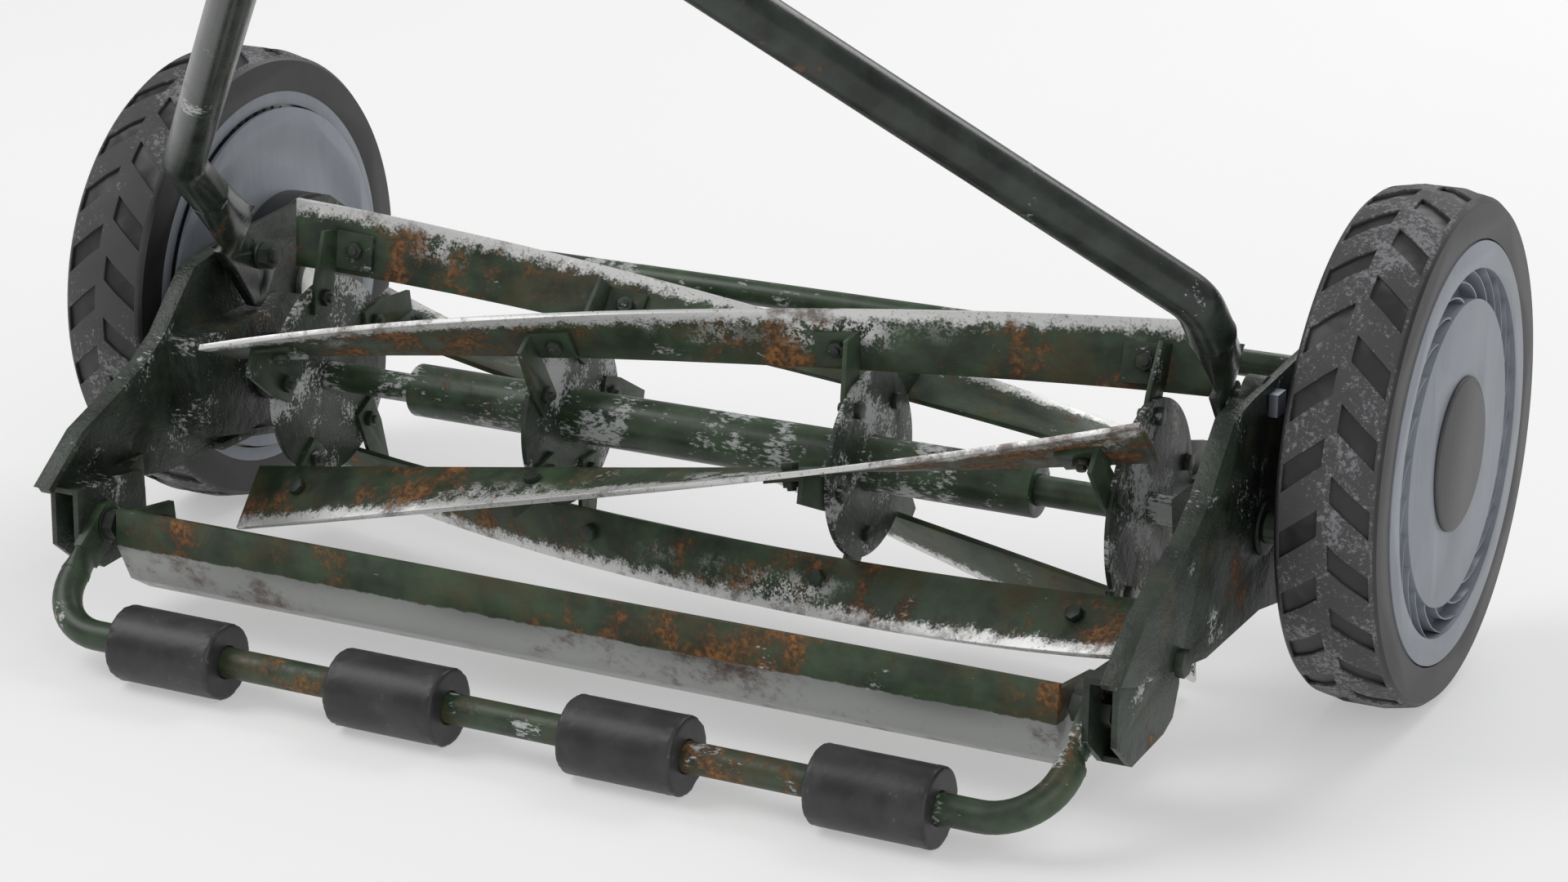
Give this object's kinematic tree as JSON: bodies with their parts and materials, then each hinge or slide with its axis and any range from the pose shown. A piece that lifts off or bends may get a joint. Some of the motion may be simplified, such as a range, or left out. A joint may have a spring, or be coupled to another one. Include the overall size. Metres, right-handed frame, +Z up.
{
  "type": "reel mower",
  "caption": "Push reel mower: helical blade reel between two geared wheels, bedknife, rear rollers and a fork handle with a crossbar.",
  "frame": {"origin": "on the ground, straight below the middle of the wheel axle line", "axes": "+X to the mower's right, +Y the direction of travel, +Z up"},
  "size_m": [0.742, 1.0897, 1.0441],
  "materials": {
    "green_paint": "dark green enamel, worn and rusting",
    "blade_paint": "dark green enamel with rust patches and bright worn edges",
    "handle_paint": "glossy dark green enamel with rust pits",
    "cast_plate": "rough dark grey-green paint with pale dust speckle",
    "dark_fastener": "painted over, semi-matte",
    "bare_steel": "bare, lightly dulled",
    "black_cover": "matte",
    "grey_plastic": "satin",
    "dark_plastic": "satin",
    "tyre": "dusty matte",
    "roller_rubber": "matte with gritty ends",
    "grip_rubber": "soft matte foam"
  },
  "bodies": {
    "frame": {"side_plate_left": "cast_plate", "side_plate_right": "cast_plate", "tie_bar": "green_paint", "tie_bar_bolts": "dark_fastener", "wheel_axle_left": "bare_steel", "wheel_axle_right": "bare_steel", "axle_housing_left": "black_cover", "axle_housing_right": "black_cover", "dust_cover_left": "grey_plastic", "dust_cover_right": "grey_plastic", "wheel_retainers": "bare_steel", "reel_bearings": "bare_steel", "handle_bolts": "dark_fastener", "roller_bracket_left": "cast_plate", "roller_bracket_right": "cast_plate", "roller_bracket_bolts": "dark_fastener", "roller_rod": "green_paint", "roller_rod_bolts": "dark_fastener", "bedknife_pivot_bolts": "dark_fastener"},
    "wheel_left": {"tyre_left": "tyre", "wheel_rim_left": "grey_plastic", "ring_gear_left": "bare_steel", "hub_cap_left": "dark_plastic", "wheel_bush_left": "dark_plastic"},
    "wheel_right": {"tyre_right": "tyre", "wheel_rim_right": "grey_plastic", "ring_gear_right": "bare_steel", "hub_cap_right": "dark_plastic", "wheel_bush_right": "dark_plastic"},
    "reel": {"reel_shaft": "green_paint", "reel_sleeve": "green_paint", "reel_disc_1": "cast_plate", "reel_disc_2": "cast_plate", "reel_disc_3": "cast_plate", "reel_disc_4": "cast_plate", "blade_brackets": "green_paint", "reel_bolts": "dark_fastener", "reel_blade_1": "blade_paint", "reel_blade_2": "blade_paint", "reel_blade_3": "blade_paint", "reel_blade_4": "blade_paint", "reel_blade_5": "blade_paint"},
    "pinion_left": {"pinion_left": "bare_steel"},
    "pinion_right": {"pinion_right": "bare_steel"},
    "pawl_left": {"pawl_left": "bare_steel"},
    "pawl_right": {"pawl_right": "bare_steel"},
    "handle": {"handle_fork_left": "handle_paint", "handle_fork_right": "handle_paint", "handle_stem": "handle_paint", "handle_crossbar": "handle_paint", "handle_grips": "grip_rubber", "handle_stem_bolts": "dark_fastener"},
    "bedknife": {"bedknife_bar": "blade_paint", "bedknife_blade": "bare_steel", "bedknife_rivets": "dark_fastener"},
    "roller_1": {"roller_1": "roller_rubber"},
    "roller_2": {"roller_2": "roller_rubber"},
    "roller_3": {"roller_3": "roller_rubber"},
    "roller_4": {"roller_4": "roller_rubber"}
  },
  "joints": [
    {"name": "reel_spin", "type": "hinge", "parent": "frame", "child": "reel", "pos_m": [0, -0.06851, 0.0997], "axis": [1, 0, 0], "continuous": true},
    {"name": "wheel_left_spin", "type": "hinge", "parent": "frame", "child": "wheel_left", "pos_m": [0, 0, 0.127], "axis": [1, 0, 0], "continuous": true},
    {"name": "wheel_right_spin", "type": "hinge", "parent": "frame", "child": "wheel_right", "pos_m": [0, 0, 0.127], "axis": [1, 0, 0], "continuous": true},
    {"name": "pinion_left_spin", "type": "hinge", "parent": "frame", "child": "pinion_left", "pos_m": [0, -0.06851, 0.0997], "axis": [1, 0, 0], "continuous": true},
    {"name": "pinion_right_spin", "type": "hinge", "parent": "frame", "child": "pinion_right", "pos_m": [0, -0.06851, 0.0997], "axis": [1, 0, 0], "continuous": true},
    {"name": "pawl_left_slide", "type": "slide", "parent": "reel", "child": "pawl_left", "axis": [0, 1, 0], "range_m": [0, 0.003]},
    {"name": "pawl_right_slide", "type": "slide", "parent": "reel", "child": "pawl_right", "axis": [0, 1, 0], "range_m": [0, 0.003]},
    {"name": "roller_1_spin", "type": "hinge", "parent": "frame", "child": "roller_1", "pos_m": [0, -0.2744, 0.0194], "axis": [1, 0, 0], "continuous": true},
    {"name": "roller_2_spin", "type": "hinge", "parent": "frame", "child": "roller_2", "pos_m": [0, -0.2744, 0.0194], "axis": [1, 0, 0], "continuous": true},
    {"name": "roller_3_spin", "type": "hinge", "parent": "frame", "child": "roller_3", "pos_m": [0, -0.2744, 0.0194], "axis": [1, 0, 0], "continuous": true},
    {"name": "roller_4_spin", "type": "hinge", "parent": "frame", "child": "roller_4", "pos_m": [0, -0.2744, 0.0194], "axis": [1, 0, 0], "continuous": true},
    {"name": "handle_swing", "type": "hinge", "parent": "frame", "child": "handle", "pos_m": [0, -0.067, 0.1615], "axis": [1, 0, 0], "range_deg": [-80, 20]},
    {"name": "bedknife_adjust", "type": "hinge", "parent": "frame", "child": "bedknife", "pos_m": [0, -0.196, 0.049], "axis": [1, 0, 0], "range_deg": [-3, 0]}
  ],
  "couplings": [
    {"joint": "wheel_right_spin", "follows": "reel_spin", "ratio": 0.2027},
    {"joint": "wheel_left_spin", "follows": "reel_spin", "ratio": 0.2027},
    {"joint": "pinion_right_spin", "follows": "reel_spin", "ratio": 1},
    {"joint": "pinion_left_spin", "follows": "reel_spin", "ratio": 1}
  ]
}
